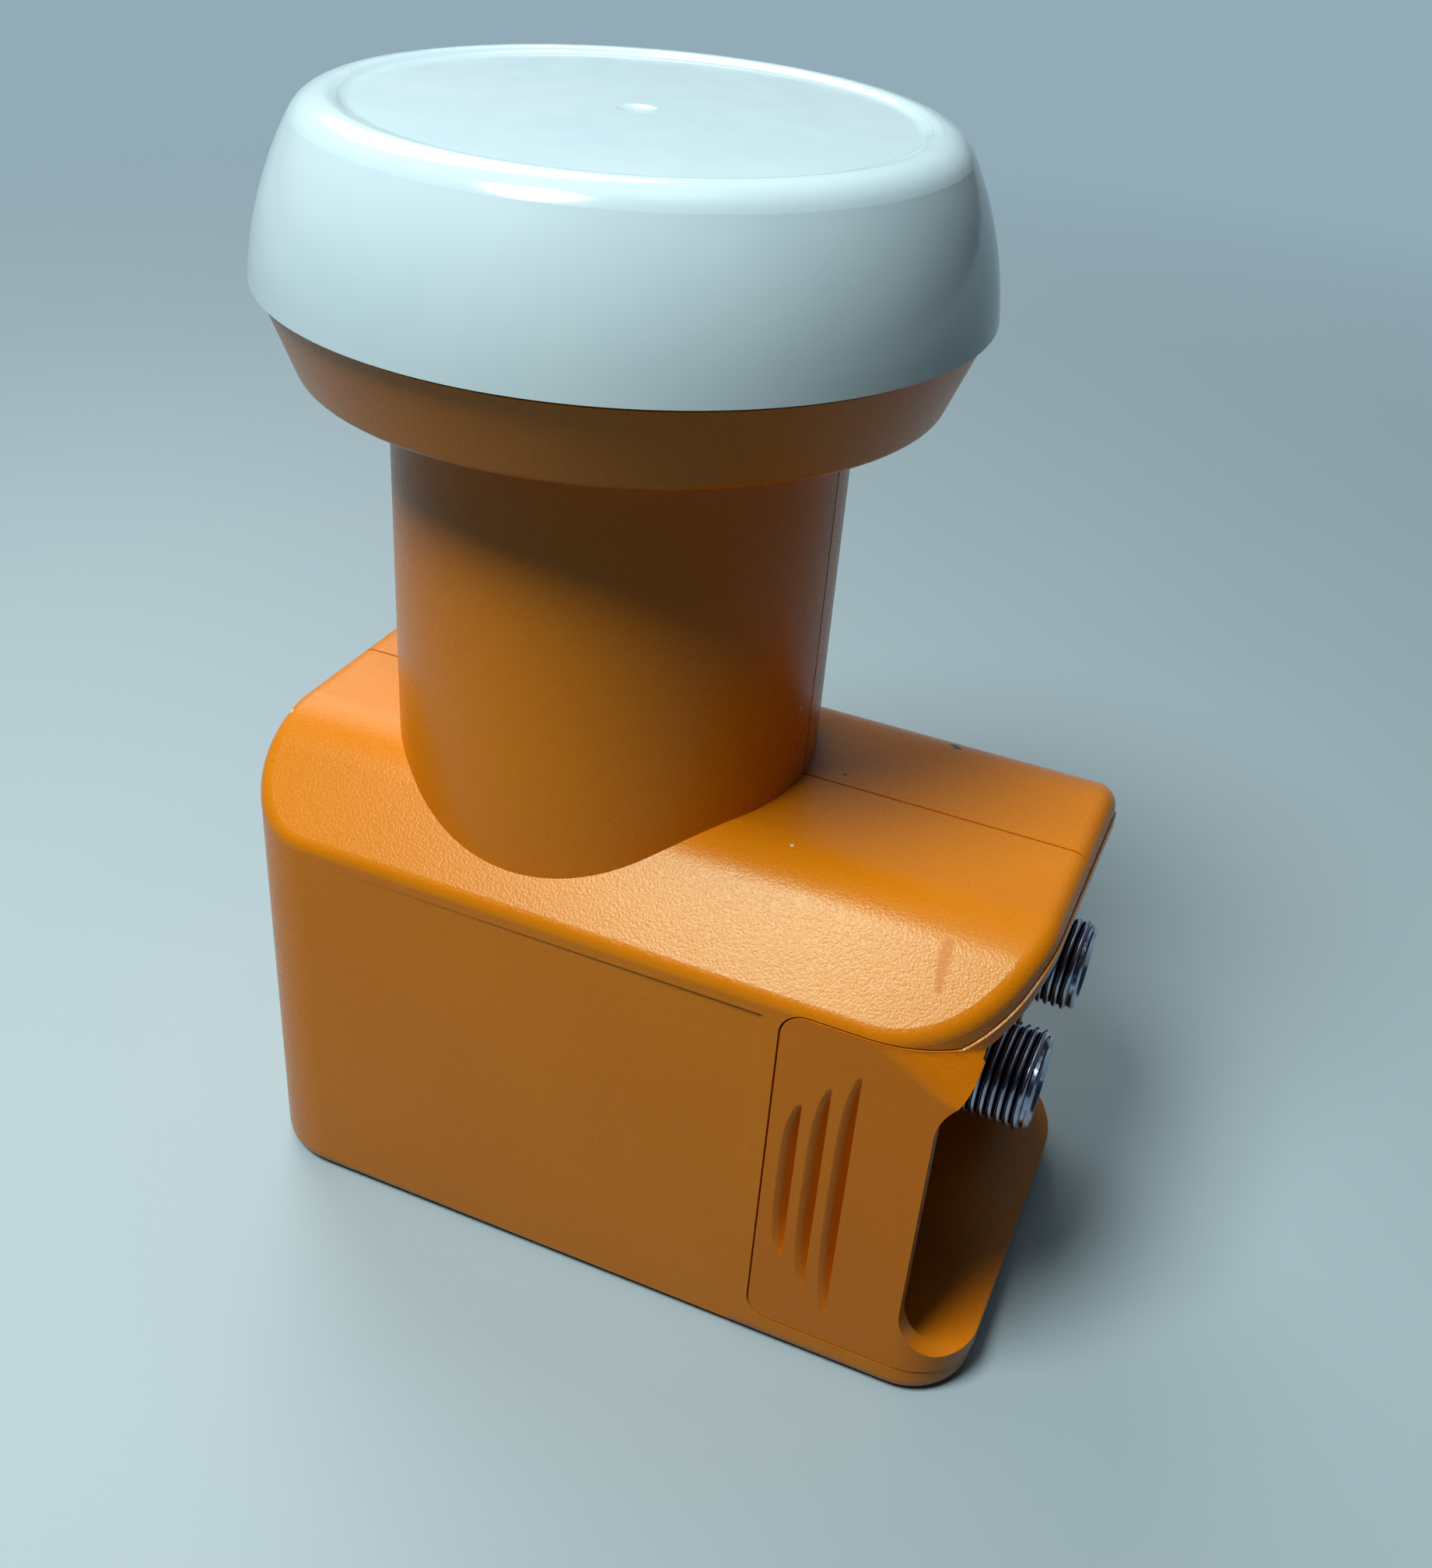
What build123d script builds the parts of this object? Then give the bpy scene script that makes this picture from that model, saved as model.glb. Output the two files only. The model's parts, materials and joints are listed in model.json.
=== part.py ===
"""Twin-output satellite LNB with a 40 mm neck, a feed cap and a sliding weather cover.

Millimetres, +Z up along the feed axis. The origin is on the base plane under the neck axis,
+X points towards the two threaded connectors and -Y is the face with the bare label panel.
"""

import math
import os

from build123d import *

os.makedirs("parts", exist_ok=True)

# Housing, measured from the neck axis and the base plane
housing_left = 28.4
housing_right = 47.4
base_right = 48.4
housing_half_width = 22.8
housing_height = 49.3
crease_height = 41.4
slope_run = 9.4
corner_radius = 8.0
roof_corner_radius = 12.4
base_corner_radius = 6.5
shoulder_overlap = 1.4
roof_edge_round = 1.8
base_edge_round = 1.6
wall = 2.0
floor_thickness = 3.0
seam_width = 0.24
seam_depth = 0.25
label_left = -19.0
label_right = 25.9
label_margin = 1.2
label_depth = 0.18

# Neck and collar
neck_radius = 20.0
neck_wall = 2.0
collar_low_height = 84.5
collar_rise = 7.0
collar_flare = 2.7
collar_inset = 0.6
collar_edge_round = 0.8
spigot_wall = 2.2
spigot_rise = 3.1
spigot_gap = 0.8

# Feed cap
cap_gap = 0.35
cap_skirt_radius = 30.6
cap_rise = 12.05
cap_belly_inset = 1.2
cap_shoulder_inset = 3.8
cap_rim_round = 3.2
cap_lip_round = 2.0
cap_lip_angle = 28.0
cap_wall = 1.6
gate_radius = 1.7
gate_depth = 0.25

# Weather cover and its track
cover_left = 27.65
cover_overhang = 0.2
hood_overhang = 0.2
pinch_low = 36.5
pinch_high = 40.5
cover_wall = 1.8
cover_roof = 1.1
cover_floor = 1.8
cover_corner_round = 2.3
track_gap = 0.18
lip_height = 0.5
notch_left = 42.1
notch_low_round = 5.5
notch_top_round = 3.5
groove_width = 1.8
groove_depth = 1.1
groove_fade = 4.5
groove_pitch = 2.45
groove_first = 29.5
groove_height = 21.7
groove_lengths = (19.0, 25.0, 30.0)
arm_left = 10.0
arm_thickness = 1.2
arm_height = 8.0
arm_gap = 0.4
arm_head = 1.5
arm_head_height = 15.0
arm_pad = 2.8

# Bulkhead and connectors
bulkhead_left = 33.6
connector_half_pitch = 9.25
connector_height = 30.4
connector_radius = 4.75
connector_tip = 48.35
connector_lead_in = 0.6
connector_bore = 3.2
connector_flange_radius = 6.1
connector_flange = 1.8
connector_collar_radius = 5.3
connector_collar_proud = 0.4
connector_shank_radius = 4.2
insulator_length = 8.0
insulator_inset = 0.9
insulator_hole = 1.0
contact_radius = 0.7
contact_socket = 0.4
contact_socket_depth = 5.0
contact_on_board = 3.0
seal_outer_radius = 6.3

# Die-cast feed and box
waveguide_radius = 8.75
waveguide_wall = 2.75
short_gap = 1.7
short_thickness = 1.5
box_left = 19.0
box_half_width = 17.0
box_wall = 2.0
box_roof = 2.0
box_roof_gap = 1.5
box_rim_drop = 8.1
box_chamfer = 4.0
box_corner = 3.0
centring_low = 52.0
centring_high = 78.0
centring_width = 3.0
throat_height = 74.0
horn_radius = 13.5
horn_gap = 4.3
choke_wall = 1.4
choke_slot = 2.4
choke_step = 1.5
choke_floor = 2.0
choke_count = 2

# Lid, board and what they carry
gasket_thickness = 0.8
lid_thickness = 2.4
screen_wall = 1.4
board_thickness = 0.8
board_margin = 0.4
boss_radius = 2.4
screw_radius = 1.2
screw_head_radius = 2.2
screw_head = 1.6
screw_grip = 6.0
post_height = 10.0
boss_setback = 9.0
probe_radius = 0.6
probe_reach = 4.6
probe_leg = 13.6
probe_bend = 1.6
probe_h_rise = 6.7
probe_v_rise = 2.7
isolation_rise = 5.1
isolation_radius = 0.75
sleeve_wall = 0.9
chip_chamfer = 0.15
chip_size = (5.0, 5.0, 0.9)
chip_place = (18.2, 6.4)
crystal_size = (3.2, 2.5, 0.8)
crystal_place = (17.6, -1.2)
regulator_size = (4.5, 2.5, 1.5)
regulator_x = 23.0
regulator_y = 5.2

# Clearances between pieces
fit = 0.05
slip = 0.3

# Sizes worked out from the ones above
flat_half_width = housing_half_width - slope_run
shoulder_angle = math.atan2(housing_height - crease_height, slope_run)
crease_drop = math.tan((math.pi / 2 - shoulder_angle) / 2)
flat_shrink = math.tan(shoulder_angle / 2)
round_run = slope_run - corner_radius + shoulder_overlap
shoulder_round = round_run / (flat_shrink * math.cos(shoulder_angle))
cover_right = base_right + cover_overhang
hood_right = housing_right + hood_overhang
cover_low = floor_thickness + track_gap
notch_low = cover_low + cover_floor
lip_low = crease_height - lip_height
cover_high = lip_low - track_gap
track_inset = cover_wall + track_gap
track_left = cover_left - track_gap
bulkhead_right = bulkhead_left + wall
bay_left = bulkhead_right + track_gap
collar_face = bulkhead_right + connector_collar_proud
arm_inner = housing_half_width - wall - arm_gap - arm_thickness
arm_right = cover_left + cover_corner_round + arm_pad / 2
narrow_half_width = housing_half_width - track_inset - wall
box_right = bulkhead_left - slip - connector_flange
board_top = connector_height - contact_radius
board_low = board_top - board_thickness
short_height = board_top + short_gap
short_top = short_height + short_thickness
probe_h_height = short_top + probe_h_rise
probe_v_height = short_top + probe_v_rise
isolation_height = short_top + isolation_rise
box_rim_height = board_low - box_rim_drop
sleeve_radius = probe_radius + sleeve_wall
box_roof_height = probe_h_height + sleeve_radius + box_roof_gap
lid_top = box_rim_height - gasket_thickness
lid_low = lid_top - lid_thickness
tube_radius = waveguide_radius + waveguide_wall
neck_bore = neck_radius - neck_wall
collar_high_height = collar_low_height + collar_rise
collar_high_radius = cap_skirt_radius - collar_inset
collar_low_radius = collar_high_radius - collar_flare
spigot_radius = cap_skirt_radius - cap_wall - spigot_gap
spigot_top = collar_high_height + spigot_rise
cap_low = collar_high_height + cap_gap
cap_shoulder_height = cap_low + cap_rise
cap_belly_radius = cap_skirt_radius - cap_belly_inset
cap_shoulder_radius = cap_skirt_radius - cap_shoulder_inset
horn_height = cap_shoulder_height - cap_wall - horn_gap
seal_groove_radius = spigot_radius - spigot_wall / 2
seal_ring_height = (cap_low + spigot_top) / 2
cap_seal_radius = spigot_radius + cap_gap
centring_radius = neck_bore - slip
choke_low = collar_low_height + neck_wall
connector_places = ((-connector_half_pitch, connector_height), (connector_half_pitch, connector_height))
screen_x = tube_radius + probe_bend
insulator_end = connector_tip - insulator_inset
contact_start = box_right - box_wall - board_margin - contact_on_board
contact_end = insulator_end - insulator_inset
choke_pitch = choke_wall + choke_slot
choke_outer = horn_radius + choke_wall + choke_count * choke_pitch
boss_places = ((-tube_radius - boss_radius - slip, 0.0), (box_right - boss_setback, 0.0))
box_middle = (box_right - box_left) / 2
screw_x = (box_right + box_left) / 2 - box_wall - boss_radius / 2
screw_y = box_half_width - box_wall - boss_radius / 2
screw_places = [(box_middle + along * screw_x, across * screw_y) for along in (-1, 1) for across in (-1, 1)]


def section_points(inset: float, floor: float) -> list[tuple[float, float]]:
    """Cross-section of the housing, moved inwards: flat roof, sloped shoulders and upright sides."""
    side = housing_half_width - inset
    crease = crease_height - inset * crease_drop
    flat = flat_half_width - inset * flat_shrink
    roof = housing_height - inset
    return [(-side, floor), (side, floor), (side, crease), (flat, roof), (-flat, roof), (-side, crease)]


def section_prism(inset: float, floor: float, start: float, end: float) -> Part:
    """The cross-section run along the housing, with the roof's two long edges softened."""
    with BuildPart() as prism:
        with BuildSketch(Plane.YZ.offset(start)) as outline:
            with BuildLine():
                Polyline(*section_points(inset, floor), close=True)
            make_face()
            fillet(outline.vertices().group_by(Axis.Y)[-1], radius=shoulder_round - inset)
        extrude(amount=end - start)
    return prism.part


def plan_outline(inset: float, end: float, front_radius: float, height: float) -> Sketch:
    """The housing's plan at one height: the front corner at the right end has a rounding of its own."""
    start = -housing_left + inset
    with BuildSketch(Plane.XY.offset(height)) as plan:
        with Locations(((start + end) / 2, 0)):
            Rectangle(end - start, 2 * (housing_half_width - inset))
        fillet(plan.vertices().group_by(Axis.X)[0], radius=corner_radius - inset)
        fillet(plan.vertices().group_by(Axis.X)[-1].sort_by(Axis.Y)[-1], radius=roof_corner_radius - inset)
        fillet(plan.vertices().group_by(Axis.X)[-1].sort_by(Axis.Y)[0], radius=front_radius - inset)
    return plan.sketch


def plan_prism(inset: float, end: float, front_radius: float, low: float, high: float) -> Part:
    """The housing's plan as an upright block."""
    with BuildPart() as prism:
        add(plan_outline(inset, end, front_radius, low))
        extrude(amount=high - low)
    return prism.part


def cover_block(inset: float) -> Part:
    """The cover's plan as a block: the tray's corners below, pinched in to the roof's at the hood."""
    tray_end = cover_right - inset
    hood_end = hood_right - inset
    with BuildPart() as blank:
        add(plan_prism(inset, tray_end, base_corner_radius, 0, pinch_low))
        add(plan_prism(inset, hood_end, roof_corner_radius, pinch_high, housing_height))
        add(plan_outline(inset, tray_end, base_corner_radius, pinch_low))
        add(plan_outline(inset, hood_end, roof_corner_radius, pinch_high))
        loft(ruled=True)
    return blank.part


# Housing as one closed moulding, split into two shells further down
outer_section = section_prism(0, 0, -housing_left, base_right)
roof_plan = plan_prism(0, housing_right, roof_corner_radius, floor_thickness, housing_height)
base_plan = plan_prism(0, base_right, base_corner_radius, 0, floor_thickness)
cavity_end = track_left - wall
cavity_section = section_prism(wall, floor_thickness, -housing_left + wall, cavity_end)
cavity_plan = plan_prism(wall, cavity_end + roof_corner_radius, roof_corner_radius, 0, housing_height)
narrow_section = section_prism(wall, floor_thickness, cavity_end, bulkhead_left)
bay_section = section_prism(wall, floor_thickness, bulkhead_right, base_right + wall)

with BuildPart() as narrow_cavity:
    add(narrow_section)
    with BuildSketch():
        Rectangle(2 * bulkhead_left, 2 * narrow_half_width)
    extrude(amount=housing_height, mode=Mode.INTERSECT)

with BuildPart() as cavity:
    add(cavity_section)
    add(cavity_plan, mode=Mode.INTERSECT)
    add(narrow_cavity.part)

with BuildPart() as outer_plan:
    add(roof_plan)
    add(base_plan)

with BuildPart() as housing:
    add(outer_section)
    add(outer_plan.part, mode=Mode.INTERSECT)
    roof_edges = [
        edge
        for edge in housing.edges()
        if edge.center().Z > crease_height - fit
        and (abs(edge.center().Y) > housing_half_width - fit or abs(edge.tangent_at(0.5).X) < 0.99)
    ]
    fillet(roof_edges, radius=roof_edge_round)
    fillet(housing.faces().sort_by(Axis.Z)[0].edges(), radius=base_edge_round)
    with BuildSketch(Plane.XZ) as profile:
        with BuildLine():
            Polyline(
                (0, crease_height - housing_half_width + neck_radius),
                (neck_radius, crease_height - housing_half_width + neck_radius),
                (neck_radius, collar_low_height),
                (collar_low_radius, collar_low_height),
                (collar_high_radius, collar_high_height),
                (spigot_radius, collar_high_height),
                (spigot_radius, spigot_top),
                (0, spigot_top),
                close=True,
            )
        make_face()
        collar_edge = profile.vertices().sort_by_distance((collar_low_radius, collar_low_height))[0]
        fillet(collar_edge, radius=collar_edge_round)
    revolve(axis=Axis.Z)
    add(cavity.part, mode=Mode.SUBTRACT)
    with BuildSketch(Plane.XZ):
        with BuildLine():
            Polyline(
                (0, floor_thickness + wall),
                (neck_bore, floor_thickness + wall),
                (neck_bore, collar_low_height + neck_wall),
                (collar_low_radius - neck_wall, collar_low_height + neck_wall),
                (spigot_radius - spigot_wall, collar_high_height),
                (spigot_radius - spigot_wall, spigot_top),
                (0, spigot_top),
                close=True,
            )
        make_face()
    revolve(axis=Axis.Z, mode=Mode.SUBTRACT)
    # Groove for the cap's seal ring round the spigot
    with BuildSketch(Plane.XZ):
        with Locations((spigot_radius, (cap_low + spigot_top) / 2)):
            Rectangle(spigot_wall, spigot_wall / 2)
    revolve(axis=Axis.Z, mode=Mode.SUBTRACT)
    # Bay behind the bulkhead, open at the end and on both sides under the roof's lip
    add(bay_section, mode=Mode.SUBTRACT)
    with BuildSketch(Plane.XY.offset(floor_thickness)):
        with Locations(((bulkhead_right + cover_right) / 2, 0)):
            Rectangle(cover_right - bulkhead_right, 2 * (housing_half_width + wall))
    extrude(amount=lip_low - floor_thickness, mode=Mode.SUBTRACT)
    for side in (-1, 1):
        with BuildSketch(Plane.XZ.offset(-side * (housing_half_width + wall))) as track:
            with Locations(((track_left + cover_right) / 2, (floor_thickness + lip_low) / 2)):
                Rectangle(cover_right - track_left, lip_low - floor_thickness)
            fillet(track.vertices().group_by(Axis.X)[0], radius=cover_corner_round + track_gap)
        extrude(amount=side * (wall + track_inset), mode=Mode.SUBTRACT)
        # Slot in the recessed wall for the cover's arm
        with BuildSketch(Plane.XZ.offset(-side * narrow_half_width)):
            with Locations(((cavity_end + bulkhead_right) / 2, groove_height)):
                Rectangle(bulkhead_right - cavity_end, arm_height + 2 * arm_gap)
        extrude(amount=-side * wall, mode=Mode.SUBTRACT)
    with BuildSketch(Plane.YZ.offset(bulkhead_left)):
        with Locations((-connector_half_pitch, connector_height), (connector_half_pitch, connector_height)):
            Circle(seal_outer_radius + fit)
    extrude(amount=wall, mode=Mode.SUBTRACT)
    # Fine groove along the seam of the two shells, over the roof and up the neck and the collar
    for side, end, low in ((-1, housing_left, base_edge_round), (1, housing_right, crease_height)):
        with BuildSketch(Plane.XZ):
            with BuildLine():
                FilletPolyline(
                    (side * end, low),
                    (side * end, housing_height),
                    (side * neck_radius, housing_height),
                    radius=roof_edge_round,
                )
                Line((side * neck_radius, housing_height), (side * neck_radius, collar_low_height))
            trace(line_width=2 * seam_depth)
        extrude(amount=seam_width / 2, both=True, mode=Mode.SUBTRACT)

with BuildPart() as front_shell:
    add(housing.part)
    split(bisect_by=Plane.XZ, keep=Keep.TOP)
    # Bare label panel: the face leans in from the left and ends in a shallow step at the right
    with BuildSketch():
        with BuildLine():
            Polyline(
                (label_left, -housing_half_width),
                (label_right, -housing_half_width),
                (label_right, label_depth - housing_half_width),
                close=True,
            )
        make_face()
    extrude(amount=lip_low - label_margin, mode=Mode.SUBTRACT)

with BuildPart() as rear_shell:
    add(housing.part)
    split(bisect_by=Plane.XZ, keep=Keep.BOTTOM)

# Sliding weather cover: side walls in the tracks, a floor and a hood inside the bay, and an open notched end
hood_inset = wall + track_gap
ceiling_inset = hood_inset + cover_roof
hood = section_prism(hood_inset, cover_low, bay_left, cover_right)
hood_space = section_prism(ceiling_inset, notch_low, bay_left - wall, cover_right + wall)

# Notch for the plugs and cables: its ceiling runs out through the side walls at the shoulders' slope
notch_half_width = housing_half_width + wall
notch_side_top = crease_height - ceiling_inset / math.cos(shoulder_angle) - wall * math.tan(shoulder_angle)
ceiling = section_points(ceiling_inset, notch_low)[3:5]
with BuildPart() as notch:
    with BuildSketch(Plane.YZ.offset(notch_left)) as outline:
        with BuildLine():
            Polyline(
                (-notch_half_width, notch_low),
                (notch_half_width, notch_low),
                (notch_half_width, notch_side_top),
                *ceiling,
                (-notch_half_width, notch_side_top),
                close=True,
            )
        make_face()
        fillet(outline.vertices().group_by(Axis.Y)[-1], radius=shoulder_round - ceiling_inset)
    extrude(amount=cover_right + wall - notch_left)
    start_edges = notch.faces().sort_by(Axis.X)[0].edges()
    fillet([edge for edge in start_edges if edge.center().Z > notch_side_top], radius=notch_top_round)
    fillet(notch.faces().sort_by(Axis.X)[0].edges().sort_by(Axis.Z)[0], radius=notch_low_round)

with BuildPart() as weather_cover:
    with BuildSketch(Plane.XZ.offset(-housing_half_width)) as face:
        with Locations(((cover_left + cover_right) / 2, (cover_low + cover_high) / 2)):
            Rectangle(cover_right - cover_left, cover_high - cover_low)
        fillet(face.vertices().group_by(Axis.X)[0], radius=cover_corner_round)
    extrude(amount=2 * housing_half_width)
    add(hood)
    add(cover_block(0), mode=Mode.INTERSECT)
    # Open between the side walls left of the bay, hollow inside the bay
    with BuildSketch():
        with Locations(((cover_left + bay_left - wall) / 2, 0)):
            Rectangle(bay_left + wall - cover_left, 2 * (housing_half_width - cover_wall))
    extrude(amount=housing_height, mode=Mode.SUBTRACT)
    with BuildPart(mode=Mode.SUBTRACT):
        add(cover_block(cover_wall))
        with BuildSketch(Plane.XY.offset(notch_low)):
            with Locations(((bay_left + cover_right) / 2, 0)):
                Rectangle(cover_right - bay_left, 2 * housing_half_width)
        extrude(amount=notch_side_top - notch_low, mode=Mode.INTERSECT)
    add(hood_space, mode=Mode.SUBTRACT)
    add(notch.part, mode=Mode.SUBTRACT)
    # Arms that keep the cover in the housing: a pad in the wall's slot, a strip and a cross-headed end
    for side in (-1, 1):
        with BuildSketch(Plane.XZ.offset(-side * arm_inner)):
            with Locations(((arm_left + arm_right) / 2, groove_height)):
                Rectangle(arm_right - arm_left, arm_height)
            with Locations((arm_left + arm_head / 2, groove_height)):
                Rectangle(arm_head, arm_head_height)
        extrude(amount=-side * arm_thickness)
        with BuildSketch(Plane.XZ.offset(-side * arm_inner)):
            with Locations((arm_right - arm_pad / 2, groove_height)):
                Rectangle(arm_pad, arm_height)
        extrude(amount=-side * (housing_half_width - cover_wall - arm_inner))
    # Three finger grooves on each side: rounded ramps down to a step, fading out at their ends
    for index, length in enumerate(groove_lengths):
        groove_left = groove_first + index * groove_pitch - groove_width / 2
        groove_right = groove_left + groove_width
        groove_low = groove_height - length / 2
        groove_high = groove_height + length / 2
        for side in (-1, 1):
            face_y = side * housing_half_width
            floor_y = side * (housing_half_width - groove_depth)
            with BuildPart(mode=Mode.SUBTRACT):
                with BuildSketch(Plane.YZ.offset(groove_left)):
                    with BuildLine():
                        Polyline(
                            (face_y, groove_low),
                            (floor_y, groove_low + groove_fade),
                            (floor_y, groove_high - groove_fade),
                            (face_y, groove_high),
                            close=True,
                        )
                    make_face()
                extrude(amount=groove_width)
                with BuildSketch(Plane.XY.offset(groove_low)):
                    with BuildLine():
                        TangentArc((groove_left, face_y), (groove_right, floor_y), tangent=(1, 0))
                        Line((groove_right, floor_y), (groove_right, face_y))
                        Line((groove_right, face_y), (groove_left, face_y))
                    make_face()
                extrude(amount=length, mode=Mode.INTERSECT)

# Feed cap: barrel-shaped skirt, rolled rim and a shallow dished top, of one wall thickness
with BuildPart() as horn_cap:
    with BuildSketch(Plane.XZ):
        with BuildLine():
            belly = ThreePointArc(
                (cap_skirt_radius, cap_low),
                (cap_belly_radius, (cap_low + cap_shoulder_height) / 2),
                (cap_shoulder_radius, cap_shoulder_height),
            )
            rim_angle = 180 - math.degrees(math.atan2((belly % 1).Y, (belly % 1).X))
            rim = JernArc(belly @ 1, belly % 1, cap_rim_round, rim_angle)
            lip = JernArc(rim @ 1, rim % 1, cap_lip_round, cap_lip_angle)
            hollow = JernArc(lip @ 1, lip % 1, cap_lip_round, -cap_lip_angle)
            dish_height = (hollow @ 1).Y
            inner_height = dish_height - cap_wall
            inner_shoulder = (cap_shoulder_radius - cap_wall, cap_shoulder_height - cap_wall)
            Line(hollow @ 1, (0, dish_height))
            Polyline((0, dish_height), (0, inner_height), ((hollow @ 1).X, inner_height), inner_shoulder)
            ThreePointArc(
                inner_shoulder,
                (cap_belly_radius - cap_wall, (cap_low + cap_shoulder_height - cap_wall) / 2),
                (cap_skirt_radius - cap_wall, cap_low),
            )
            Line((cap_skirt_radius - cap_wall, cap_low), (cap_skirt_radius, cap_low))
        make_face()
    revolve(axis=Axis.Z)
    gate_sphere = (gate_radius**2 / gate_depth + gate_depth) / 2
    with Locations((0, 0, dish_height + gate_sphere - gate_depth)):
        Sphere(gate_sphere, mode=Mode.SUBTRACT)

with BuildPart() as cap_seal:
    with BuildSketch(Plane.XZ):
        with Locations(((seal_groove_radius + cap_seal_radius) / 2, seal_ring_height)):
            Rectangle(cap_seal_radius - seal_groove_radius - fit, spigot_wall / 2 - 2 * fit)
    revolve(axis=Axis.Z)


def casting_block(inset: float, high: float, broken: float) -> Part:
    """Block of the casting's box, drawn in by an inset, with its long top edges broken at 45 degrees."""
    half = box_half_width - inset
    with BuildPart() as blank:
        with BuildSketch(Plane.XY.offset(box_rim_height)):
            with Locations((box_middle, 0)):
                RectangleRounded(box_right + box_left - 2 * inset, 2 * half, box_corner - inset)
        extrude(amount=high - box_rim_height)
        with BuildSketch(Plane.YZ.offset(-box_left)):
            with BuildLine():
                Polyline(
                    (-half, box_rim_height),
                    (half, box_rim_height),
                    (half, high - broken),
                    (half - broken, high),
                    (broken - half, high),
                    (-half, high - broken),
                    close=True,
                )
            make_face()
        extrude(amount=box_right + box_left, mode=Mode.INTERSECT)
    return blank.part


# Die-cast feed: waveguide tube, centring rings in the neck, ringed horn mouth and an open-bottomed box
with BuildPart() as feed_casting:
    add(casting_block(0, box_roof_height, box_chamfer))
    add(casting_block(box_wall, box_roof_height - box_roof, box_chamfer - box_wall / 2), mode=Mode.SUBTRACT)
    # Posts in the corners for the lid screws, and two for the board
    with BuildSketch(Plane.XY.offset(box_rim_height)):
        with Locations(*screw_places):
            Circle(boss_radius)
    extrude(amount=post_height)
    with BuildSketch(Plane.XY.offset(board_top)):
        with Locations(*boss_places):
            Circle(boss_radius)
    extrude(amount=box_roof_height - box_roof - board_top)
    with BuildSketch(Plane.XZ):
        with BuildLine():
            Polyline(
                (0, short_height),
                (tube_radius, short_height),
                (tube_radius, centring_low),
                (centring_radius, centring_low),
                (centring_radius, centring_low + centring_width),
                (tube_radius, centring_low + centring_width),
                (tube_radius, centring_high),
                (centring_radius, centring_high),
                (centring_radius, choke_low),
                (choke_outer, choke_low),
                (choke_outer, choke_low + choke_floor),
                (horn_radius + choke_wall, choke_low + choke_floor),
                (horn_radius + choke_wall, horn_height),
                (0, horn_height),
                close=True,
            )
        make_face()
    revolve(axis=Axis.Z)
    # Ring walls of the horn's mouth step down outwards, with a slot between each two
    for ring in range(choke_count + 1):
        ring_inner = horn_radius + ring * choke_pitch
        ring_top = horn_height - ring * choke_step
        with BuildSketch(Plane.XZ):
            with Locations((ring_inner + choke_wall / 2, (choke_low + ring_top) / 2)):
                Rectangle(choke_wall, ring_top - choke_low)
        revolve(axis=Axis.Z)
    # Waveguide bore, widening to the horn
    with BuildSketch(Plane.XZ):
        with BuildLine():
            Polyline(
                (0, short_top),
                (waveguide_radius, short_top),
                (waveguide_radius, throat_height),
                (horn_radius, horn_height),
                (0, horn_height),
                close=True,
            )
        make_face()
    revolve(axis=Axis.Z, mode=Mode.SUBTRACT)
    # Holes for the pick-up pins' sleeves, the isolation pin, the connectors and the screws
    with BuildSketch(Plane.YZ):
        with Locations((0, probe_h_height)):
            Circle(sleeve_radius + fit)
    extrude(amount=tube_radius + slip, mode=Mode.SUBTRACT)
    with BuildSketch(Plane.XZ):
        with Locations((0, probe_v_height)):
            Circle(sleeve_radius + fit)
    extrude(amount=-tube_radius - slip, mode=Mode.SUBTRACT)
    with BuildSketch(Plane.XZ.offset(-tube_radius)):
        with Locations((0, isolation_height)):
            Circle(isolation_radius + fit)
    extrude(amount=2 * tube_radius, mode=Mode.SUBTRACT)
    with BuildSketch(Plane.YZ.offset(box_right)):
        with Locations(*connector_places):
            Circle(connector_shank_radius + fit)
    extrude(amount=-box_wall, mode=Mode.SUBTRACT)
    with BuildSketch(Plane.XY.offset(box_rim_height)):
        with Locations(*screw_places):
            Circle(screw_radius + fit)
    extrude(amount=screw_grip, mode=Mode.SUBTRACT)
    with BuildSketch(Plane.XY.offset(board_top)):
        with Locations(*boss_places):
            Circle(screw_radius + fit)
    extrude(amount=screw_grip, mode=Mode.SUBTRACT)

with BuildPart() as lid_gasket:
    with BuildSketch(Plane.XY.offset(lid_top)):
        with Locations((box_middle, 0)):
            RectangleRounded(box_right + box_left, 2 * box_half_width, box_corner)
            RectangleRounded(
                box_right + box_left - 2 * box_wall,
                2 * (box_half_width - box_wall),
                box_corner - box_wall,
                mode=Mode.SUBTRACT,
            )
        with Locations(*screw_places):
            Circle(boss_radius)
        with Locations(*screw_places):
            Circle(screw_radius + fit, mode=Mode.SUBTRACT)
    extrude(amount=gasket_thickness)

# Lid with two screening walls that reach up to the board
with BuildPart() as casting_lid:
    with BuildSketch(Plane.XY.offset(lid_low)):
        with Locations((box_middle, 0)):
            RectangleRounded(box_right + box_left, 2 * box_half_width, box_corner)
    extrude(amount=lid_thickness)
    with BuildSketch(Plane.XY.offset(lid_top)):
        with Locations((screen_x, 0)):
            Rectangle(screen_wall, 2 * (box_half_width - box_wall - slip))
        with Locations(((screen_x - box_left + box_wall + slip) / 2, 0)):
            Rectangle(screen_x + box_left - box_wall - slip, screen_wall)
    extrude(amount=board_low - lid_top)
    with BuildSketch(Plane.XY.offset(board_low - screw_head - slip)):
        with Locations(*boss_places):
            Circle(screw_head_radius + slip)
    extrude(amount=screw_head + slip, mode=Mode.SUBTRACT)
    with BuildSketch(Plane.XY.offset(lid_low)):
        with Locations(*screw_places):
            Circle(screw_radius + fit)
    extrude(amount=lid_thickness, mode=Mode.SUBTRACT)

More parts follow.
